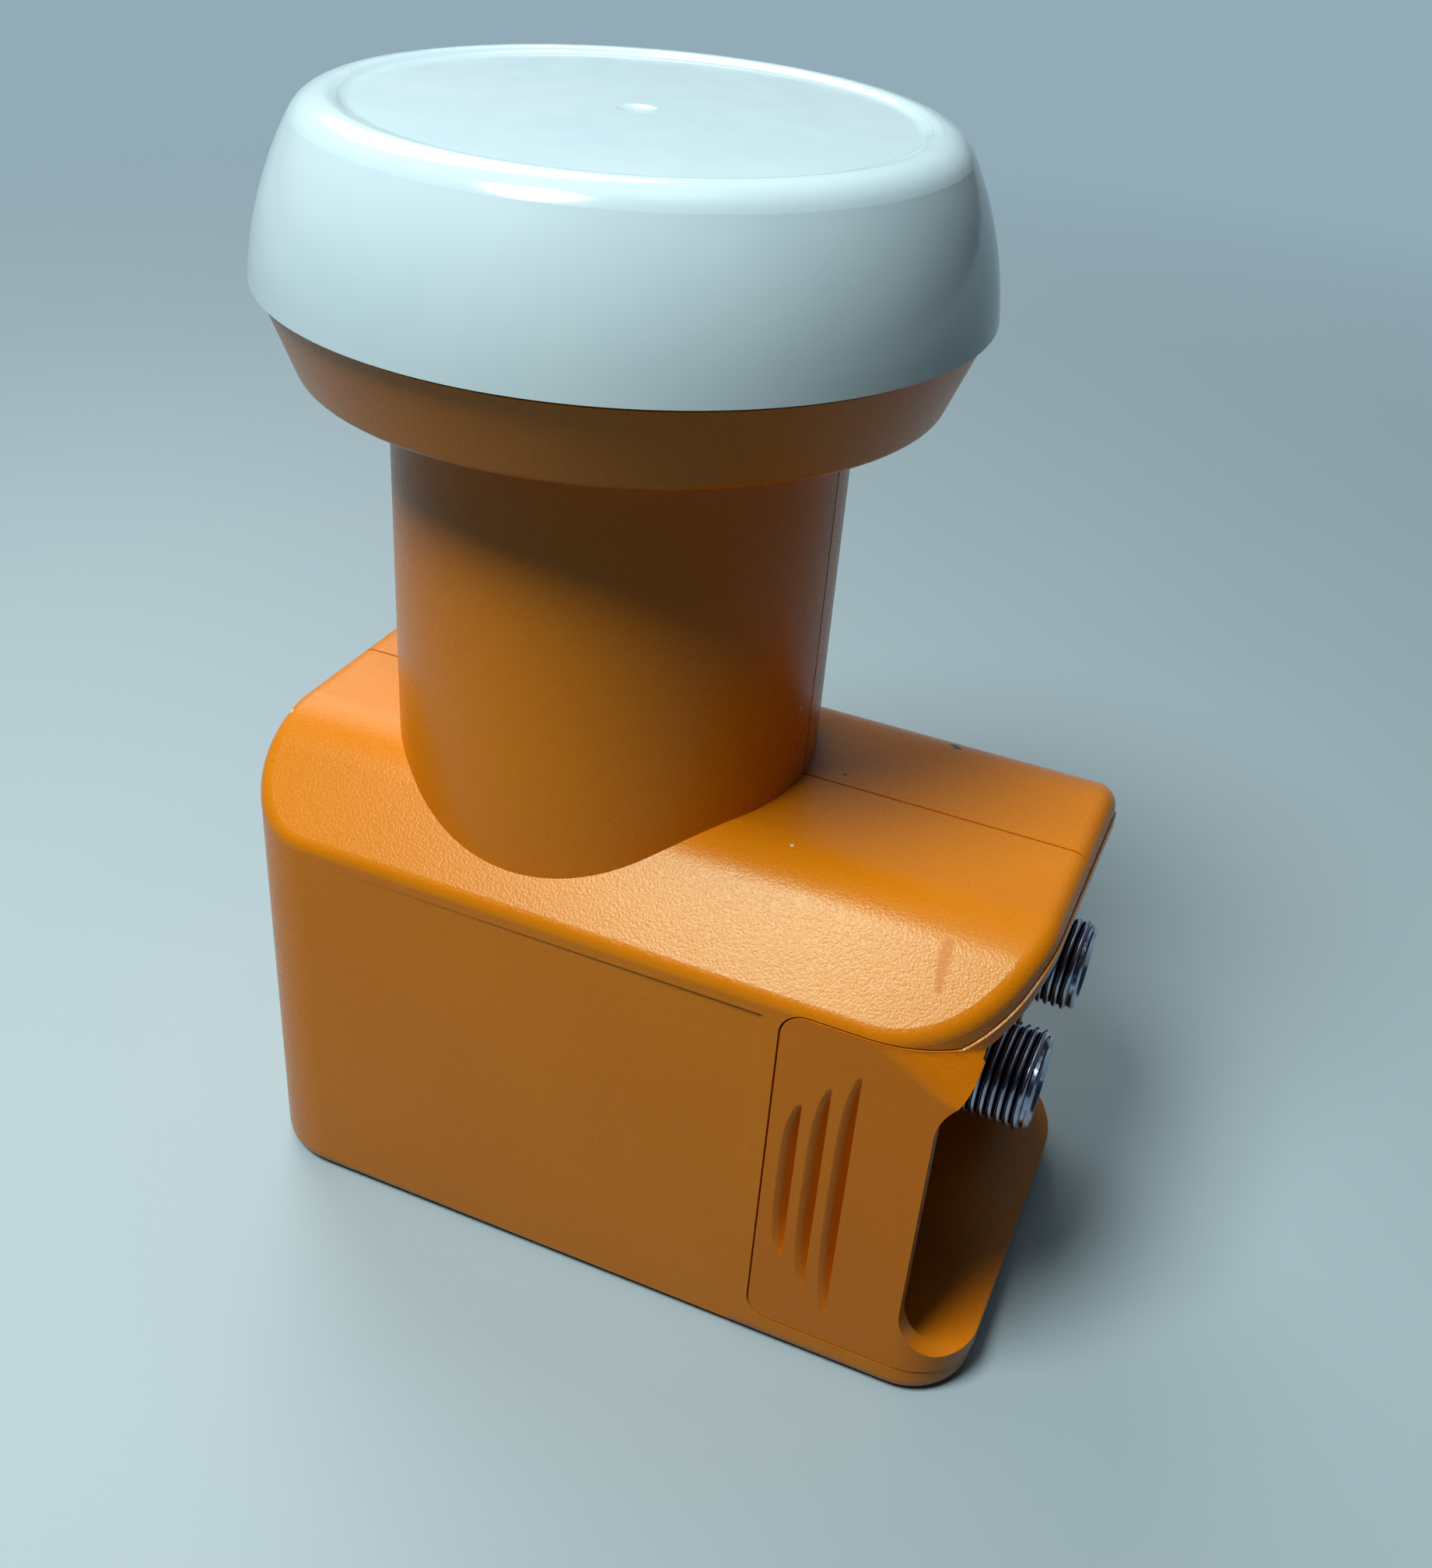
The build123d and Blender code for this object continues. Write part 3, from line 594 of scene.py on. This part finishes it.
class ThreadTree:
    """Geometry nodes that wind a cut thread round a barrel along X."""

    STEPS_PER_TURN = 72
    THIN_END = 0.15

    def __init__(self) -> None:
        """Builds the tree with its named inputs."""
        self.tree = bpy.data.node_groups.new("thread_winding", "GeometryNodeTree")
        face = self.tree.interface
        face.new_socket("Barrel", in_out="INPUT", socket_type="NodeSocketGeometry")
        for name in ("Root Radius", "Depth", "Half Width", "Turns", "Length", "Run Out"):
            face.new_socket(name, in_out="INPUT", socket_type="NodeSocketFloat")
        face.new_socket("Start", in_out="INPUT", socket_type="NodeSocketVector")
        face.new_socket("Finish", in_out="INPUT", socket_type="NodeSocketMaterial")
        face.new_socket("Outlet", in_out="OUTPUT", socket_type="NodeSocketGeometry")
        self._wire()

    def _wire(self) -> None:
        """Places the nodes and links them."""
        nodes, link = self.tree.nodes, self.tree.links.new
        given = nodes.new("NodeGroupInput").outputs
        helix = nodes.new("GeometryNodeCurveSpiral")
        helix.inputs["Resolution"].default_value = self.STEPS_PER_TURN
        link(given["Turns"], helix.inputs["Rotations"])
        link(given["Root Radius"], helix.inputs["Start Radius"])
        link(given["Root Radius"], helix.inputs["End Radius"])
        link(given["Length"], helix.inputs["Height"])
        upright = nodes.new("GeometryNodeSetCurveNormal")
        upright.mode = "Z_UP"
        link(helix.outputs["Curve"], upright.inputs["Curve"])
        along = nodes.new("GeometryNodeSplineParameter")
        left = nodes.new("ShaderNodeMath")
        left.operation = "SUBTRACT"
        left.inputs[0].default_value = 1.0
        link(along.outputs["Factor"], left.inputs[1])
        fade = nodes.new("ShaderNodeMapRange")
        link(left.outputs["Value"], fade.inputs["Value"])
        link(given["Run Out"], fade.inputs["From Max"])
        fade.inputs["To Min"].default_value = self.THIN_END
        cutter = nodes.new("GeometryNodeCurvePrimitiveCircle")
        cutter.inputs["Resolution"].default_value = 4
        cutter.inputs["Radius"].default_value = 1.0
        shape = nodes.new("ShaderNodeCombineXYZ")
        link(given["Depth"], shape.inputs["X"])
        link(given["Half Width"], shape.inputs["Y"])
        profile = nodes.new("GeometryNodeTransform")
        link(cutter.outputs["Curve"], profile.inputs["Geometry"])
        link(shape.outputs["Vector"], profile.inputs["Scale"])
        ridge = nodes.new("GeometryNodeCurveToMesh")
        ridge.inputs["Fill Caps"].default_value = True
        link(upright.outputs["Curve"], ridge.inputs["Curve"])
        link(profile.outputs["Geometry"], ridge.inputs["Profile Curve"])
        link(fade.outputs["Result"], ridge.inputs["Scale"])
        laid = nodes.new("GeometryNodeTransform")
        laid.inputs["Rotation"].default_value = (0.0, math.pi / 2, 0.0)
        link(ridge.outputs["Mesh"], laid.inputs["Geometry"])
        link(given["Start"], laid.inputs["Translation"])
        joined = nodes.new("GeometryNodeJoinGeometry")
        link(laid.outputs["Geometry"], joined.inputs["Geometry"])
        link(given["Barrel"], joined.inputs["Geometry"])
        real = nodes.new("GeometryNodeRealizeInstances")
        link(joined.outputs["Geometry"], real.inputs["Geometry"])
        dress = nodes.new("GeometryNodeSetMaterial")
        link(real.outputs["Geometry"], dress.inputs["Geometry"])
        link(given["Finish"], dress.inputs["Material"])
        made = nodes.new("NodeGroupOutput")
        link(dress.outputs["Geometry"], made.inputs["Outlet"])

    def wind(self, barrel: bpy.types.Object, **sizes: Any) -> bpy.types.Object:
        """Winds the thread on a barrel and leaves one plain mesh.

        Args:
            barrel: Object whose mesh is the plain barrel.
            sizes: Values of the tree's named inputs, with underscores for spaces.

        Returns:
            The same object, with the thread in its mesh.
        """
        modifier = barrel.modifiers.new("thread", "NODES")
        modifier.node_group = self.tree
        for socket in self.tree.interface.items_tree:
            key = socket.name.replace(" ", "_").lower()
            if key in sizes:
                modifier[socket.identifier] = sizes[key]
        bake(barrel)
        return barrel


@dataclass
class ThreadedOutlet:
    """One coaxial outlet: shank, flange, plain collar and a threaded barrel with a bored mouth."""

    side: Side
    crest_radius: float = 4.75 * MM
    pitch: float = 0.794 * MM
    thread_depth: float = 0.46 * MM
    collar_radius: float = 5.3 * MM
    collar_end: float = 36.0 * MM
    bore_radius: float = 3.2 * MM
    flange_radius: float = 6.1 * MM
    flange: float = 1.8 * MM
    shank: float = 2.0 * MM
    shank_radius: float = 4.2 * MM
    mouth_chamfer: float = 0.35 * MM
    edge: float = 0.15 * MM
    ridge_share: float = 0.52
    tip_turns: float = 0.3
    run_out_turns: float = 0.6

    @property
    def root(self) -> float:
        """Radius at the bottom of the thread."""
        return self.crest_radius - self.thread_depth

    @property
    def node(self) -> str:
        """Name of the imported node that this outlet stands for."""
        return f"connector_{self.side.word}"

    def outline(self, low: float, tip: float) -> list[tuple[float, float]]:
        """Half section of the plain barrel.

        Args:
            low: Where the shank starts along X.
            tip: Where the barrel ends along X.

        Returns:
            Points as place along X and radius.
        """
        face = low + self.shank
        return [
            (low, self.bore_radius),
            (low, self.shank_radius),
            (face, self.shank_radius),
            (face, self.flange_radius - self.edge),
            (face + self.edge, self.flange_radius),
            (face + self.flange - self.edge, self.flange_radius),
            (face + self.flange, self.flange_radius - self.edge),
            (face + self.flange, self.collar_radius),
            (self.collar_end - self.edge, self.collar_radius),
            (self.collar_end, self.collar_radius - self.edge),
            (self.collar_end, self.root),
            (tip - 0.5 * self.mouth_chamfer, self.root),
            (tip, self.root - 0.5 * self.mouth_chamfer),
            (tip, self.bore_radius + self.mouth_chamfer),
            (tip - self.mouth_chamfer, self.bore_radius),
        ]

    def build(self, tree: ThreadTree, finish: bpy.types.Material) -> bpy.types.Object:
        """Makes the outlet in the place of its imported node.

        Args:
            tree: The thread winding nodes.
            finish: Material of the outlet.

        Returns:
            The finished piece, riding on the housing.
        """
        low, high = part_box(self.node)
        axle = ((low.x + high.x) / 2, (low.y + high.y) / 2, (low.z + high.z) / 2)
        piece = spun(f"outlet_{self.side.word}", self.outline(low.x, high.x), axle)
        length = high.x - self.collar_end - self.tip_turns * self.pitch
        turns = length / self.pitch
        tree.wind(
            piece,
            root_radius=self.root,
            depth=self.thread_depth,
            half_width=self.ridge_share * self.pitch,
            turns=turns,
            length=length,
            run_out=self.run_out_turns / turns,
            start=(self.collar_end, axle[1], axle[2]),
            finish=finish,
        )
        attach(piece, Body.HOUSING.value)
        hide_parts(self.node)
        LOG.info("%s with %d faces", piece.name, len(piece.data.polygons))
        return piece


@dataclass
class SlidingCover:
    """The weather cover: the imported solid, with finger grooves cut as soft ramps that fade at both ends."""

    node: str = COVER_NODE
    steps: tuple[float, ...] = (30.4 * MM, 32.85 * MM, 35.3 * MM)
    lengths: tuple[float, ...] = (19.6 * MM, 25.6 * MM, 30.4 * MM)
    middle: float = 21.6 * MM
    ramp: float = 1.6 * MM
    depth: float = 1.5 * MM
    lead: float = 0.6 * MM
    clear: float = 0.02 * MM
    bend: float = 1.45
    narrowing: float = 0.7
    narrowing_power: int = 4
    fading_power: int = 3
    across: int = 10
    along: int = 48
    crease: float = math.radians(45)
    weld: float = 0.0001 * MM
    plain_depth: float = 1.4 * MM
    skin: float = 0.0005 * MM
    margin: float = 1.0 * MM
    step_margin: float = 0.1 * MM

    def blank(self) -> bpy.types.Object:
        """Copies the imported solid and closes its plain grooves.

        Returns:
            The cover without grooves.
        """
        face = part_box(self.node)[1].y
        work = bmesh.new()
        work.from_mesh(frame["nodes"][self.node].data)
        bmesh.ops.remove_doubles(work, verts=work.verts, dist=self.weld)
        reach = max(self.lengths) / 2 + self.margin
        first, last = self.steps[0] - self.ramp, self.steps[-1] + self.step_margin

        def grooved(patch: bmesh.types.BMFace) -> bool:
            """Whether a face lies in one of the plain grooves."""
            spot = patch.calc_center_median()
            sunk = face - self.plain_depth < abs(spot.y) < face - self.skin
            return sunk and first < spot.x < last and abs(spot.z - self.middle) < reach

        plain = [patch for patch in work.faces if grooved(patch)]
        bmesh.ops.delete(work, geom=plain, context="FACES")
        rims = [edge for edge in work.edges if edge.is_boundary]
        for spot in {spot for edge in rims for spot in edge.verts}:
            spot.co.y = math.copysign(face, spot.co.y)
        bmesh.ops.edgeloop_fill(work, edges=rims)
        bmesh.ops.recalc_face_normals(work, faces=work.faces)
        return as_object("sliding_cover", work)

    def ring(self, step: float, share: float, length: float, face: float) -> list[Point]:
        """One cross-section of a groove cutter.

        Args:
            step: Where the groove's step stands along X.
            share: Place along the groove, from -1 to 1.
            length: Length of the groove.
            face: Side face of the cover, with its sign.

        Returns:
            Points of the closed section.
        """
        side = math.copysign(1.0, face)
        width = self.ramp * (1.0 - self.narrowing * abs(share) ** self.narrowing_power)
        deep = self.depth * (1.0 - abs(share) ** self.fading_power)
        height = self.middle + share * length / 2
        section = [(step - width, face + side * self.lead, height)]
        for spot in range(self.across + 1):
            part = spot / self.across
            sunk = deep * part**self.bend - self.clear
            section.append((step - width * (1 - part), face - side * sunk, height))
        section.append((step, face + side * self.lead, height))
        return section

    def cutter(self) -> bpy.types.Object:
        """Makes the solid that cuts every groove of both sides.

        Returns:
            The cutter.
        """
        work = bmesh.new()
        for face in (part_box(self.node)[0].y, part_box(self.node)[1].y):
            for step, length in zip(self.steps, self.lengths):
                rings = []
                for spot in range(self.along + 1):
                    share = 2 * spot / self.along - 1
                    section = self.ring(step, share, length, face)
                    rings.append([work.verts.new(place) for place in section])
                for here, there in zip(rings, rings[1:]):
                    for spot in range(len(here)):
                        after = (spot + 1) % len(here)
                        work.faces.new((here[spot], here[after], there[after], there[spot]))
                work.faces.new(rings[0])
                work.faces.new(rings[-1])
        bmesh.ops.recalc_face_normals(work, faces=work.faces)
        return as_object("groove_cutter", work)

    def build(self, finish: bpy.types.Material) -> bpy.types.Object:
        """Cuts the grooves and dresses the cover.

        Args:
            finish: Material of the cover.

        Returns:
            The finished piece, riding on the cover body.
        """
        piece, cutter = self.blank(), self.cutter()
        cut = piece.modifiers.new("grooves", "BOOLEAN")
        cut.operation, cut.solver, cut.object = "DIFFERENCE", "EXACT", cutter
        bake(piece)
        bpy.data.objects.remove(cutter)
        soften(piece, self.crease)
        weigh = piece.modifiers.new("even_normals", "WEIGHTED_NORMAL")
        weigh.keep_sharp = True
        bake(piece)
        piece.data.materials.clear()
        piece.data.materials.append(finish)
        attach(piece, Body.COVER.value)
        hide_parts(self.node)
        LOG.info("%s with %d faces", piece.name, len(piece.data.polygons))
        return piece


class PackedPieces:
    """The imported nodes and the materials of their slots."""

    def __init__(self) -> None:
        """Sorts the nodes by the record's material slots and makes the materials."""
        self.slots: dict[str, str] = {
            item["node"]: item["material_slot"] for item in frame["record"]["subparts"]
        }
        self.materials = {slot: finish.material() for slot, finish in FINISHES.items()}
        self.cover = COVER_ORANGE.material()

    def dress(self) -> None:
        """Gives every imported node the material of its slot, and the cover its own."""
        for name, node in frame["nodes"].items():
            finish = self.cover if name == COVER_NODE else self.materials[self.slots[name]]
            node.data.materials.clear()
            node.data.materials.append(finish)
            LOG.info("%s in %s", name, finish.name)


@dataclass(frozen=True)
class Lamp:
    """A soft round lamp that faces the part from a bearing and a rise in degrees, at a reach in metres."""

    name: str
    bearing: float
    rise: float
    reach: float
    size: float
    level: float

    def hang(self, middle: Point) -> None:
        """Hangs the lamp, with the power that gives its level on a surface that faces it.

        Args:
            middle: The point that the lamp faces, in metres.
        """
        light = bpy.data.lights.new(self.name, "AREA")
        light.shape = "DISK"
        light.size = self.size
        light.energy = self.level * (math.pi * self.reach) ** 2
        turn, lift = math.radians(self.bearing), math.radians(self.rise)
        way = Vector((math.cos(turn) * math.cos(lift), math.sin(turn) * math.cos(lift), math.sin(lift)))
        holder = bpy.data.objects.new(self.name, light)
        aim = way.to_track_quat("Z", "Y").to_matrix().to_4x4()
        holder.matrix_world = Matrix.Translation(Vector(middle) + self.reach * way) @ aim
        bpy.context.scene.collection.objects.link(holder)


@dataclass
class Studio:
    """Plain pale floor, soft lamps and a pale surround."""

    floor_reach: float = 3.0
    floor_colour: Colour = tint(170, 193, 198)
    floor_bounce: Colour = tint(98, 102, 102)
    floor_cloud_mm: float = 60.0
    floor_dim: float = 0.96
    floor_roughness: tuple[float, float] = (0.42, 0.5)
    middle: Point = (0.0, 0.0, 0.05)
    lamps: tuple[Lamp, ...] = (
        Lamp("key_lamp", bearing=247, rise=61.5, reach=0.42, size=0.16, level=1.06),
        Lamp("top_lamp", bearing=0, rise=88, reach=0.8, size=0.40, level=0.06),
        Lamp("back_lamp", bearing=137, rise=44, reach=0.9, size=0.60, level=0.36),
    )
    pale_from: Point = (-0.35, 0.35, 0.87)
    pale_side: Colour = (0.44, 0.52, 0.58)
    dark_side: Colour = (0.02, 0.03, 0.05)
    pale_edge: tuple[float, float] = (0.85, 0.2)
    backdrop: Colour = tint(146, 171, 183)
    fade: tuple[float, float] = (0.16, 0.5)
    ambient: Colour = (0.02, 0.03, 0.045)

    def floor(self) -> bpy.types.Object:
        """Lays the floor under the part.

        Returns:
            The floor.
        """
        mesh = bpy.data.meshes.new("floor")
        reach = self.floor_reach
        turns = ((-1, -1), (1, -1), (1, 1), (-1, 1))
        corners = [(wide * reach, deep * reach, 0.0) for wide, deep in turns]
        mesh.from_pydata(corners, [], [(0, 1, 2, 3)])
        piece = bpy.data.objects.new("floor", mesh)
        bpy.context.scene.collection.objects.link(piece)
        sheet = Palette("pale_floor")
        cloud = sheet.noise(self.floor_cloud_mm, 2.0)
        dim = tuple(self.floor_dim * level for level in self.floor_colour)
        sheet.feed("Base Color", sheet.blend(cloud, dim, self.floor_colour))
        sheet.feed("Roughness", sheet.spread(cloud, *GRAIN_SPAN, *self.floor_roughness))
        path = sheet.nodes.new("ShaderNodeLightPath").outputs
        through = sheet.work_out("MAXIMUM", path["Is Glossy Ray"], path["Is Transmission Ray"])
        seen = sheet.work_out("MAXIMUM", path["Is Camera Ray"], through)
        dull = sheet.nodes.new("ShaderNodeBsdfDiffuse")
        dull.inputs["Color"].default_value = (*self.floor_bounce, 1.0)
        far = sheet.nodes.new("ShaderNodeEmission")
        far.inputs["Color"].default_value = (*self.backdrop, 1.0)
        away = sheet.spread(sheet.distance((0.0, 0.0, 0.0)), *self.fade)

        def mixed(share: bpy.types.NodeSocket, *sides: bpy.types.NodeSocket) -> bpy.types.NodeSocket:
            """One of two shaders, by a share."""
            node = sheet.nodes.new("ShaderNodeMixShader")
            sheet.links.new(share, node.inputs["Fac"])
            for socket, side in zip(node.inputs[1:], sides):
                sheet.links.new(side, socket)
            return node.outputs["Shader"]

        shown = mixed(away, sheet.shader.outputs["BSDF"], far.outputs["Emission"])
        sheet.links.new(mixed(seen, dull.outputs["BSDF"], shown), sheet.output.inputs["Surface"])
        mesh.materials.append(sheet.material)
        return piece

    def light(self) -> None:
        """Hangs the lamps and sets the surround."""
        for lamp in self.lamps:
            lamp.hang(self.middle)
        world = bpy.data.worlds.new("surround")
        bpy.context.scene.world = world
        world.use_nodes = True
        tree = world.node_tree
        nodes, link = tree.nodes, tree.links.new
        back = nodes["Background"]
        facing = nodes.new("ShaderNodeVectorMath")
        facing.operation = "DOT_PRODUCT"
        facing.inputs[1].default_value = self.pale_from
        link(nodes.new("ShaderNodeTexCoord").outputs["Generated"], facing.inputs[0])
        share = nodes.new("ShaderNodeMapRange")
        share.inputs["From Min"].default_value, share.inputs["From Max"].default_value = self.pale_edge
        link(facing.outputs["Value"], share.inputs["Value"])
        path = nodes.new("ShaderNodeLightPath").outputs
        mirrored = mix_colours(tree, share.outputs["Result"], self.pale_side, self.dark_side)
        either = nodes.new("ShaderNodeMath")
        either.operation = "MAXIMUM"
        link(path["Is Glossy Ray"], either.inputs[0])
        link(path["Is Transmission Ray"], either.inputs[1])
        lit = mix_colours(tree, either.outputs["Value"], self.ambient, mirrored)
        link(mix_colours(tree, path["Is Camera Ray"], lit, self.backdrop), back.inputs["Color"])


@dataclass
class Viewpoint:
    """Camera at the photograph's place, measured from the part."""

    place: Point = (0.058665, -0.125725, 0.132123)
    right: Point = (0.9165, 0.3937, 0.0714)
    up: Point = (-0.2698, 0.4763, 0.8369)
    back: Point = (0.2955, -0.7862, 0.5427)
    lens: float = 38.27
    sensor: float = 36.0
    nearest: float = 0.005

    def set_up(self) -> None:
        """Makes the camera and gives it to the scene."""
        data = bpy.data.cameras.new("photo_view")
        data.lens = self.lens
        data.sensor_width = self.sensor
        data.sensor_fit = "AUTO"
        data.clip_start = self.nearest
        holder = bpy.data.objects.new("photo_view", data)
        turn = Matrix((self.right, self.up, self.back)).transposed()
        holder.matrix_world = Matrix.Translation(self.place) @ turn.to_4x4()
        bpy.context.scene.collection.objects.link(holder)
        bpy.context.scene.camera = holder


def main() -> None:
    """Builds the stage and the pieces in order."""
    logging.basicConfig(level=logging.INFO, format="%(message)s")
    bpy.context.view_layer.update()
    bpy.context.scene.view_settings.view_transform = "Standard"
    Viewpoint().set_up()
    studio = Studio()
    studio.floor()
    studio.light()
    packed = PackedPieces()
    packed.dress()
    SlidingCover().build(packed.cover)
    tree = ThreadTree()
    for side in Side:
        ThreadedOutlet(side).build(tree, packed.materials["plated_thread"])


if __name__ == "__main__":
    main()
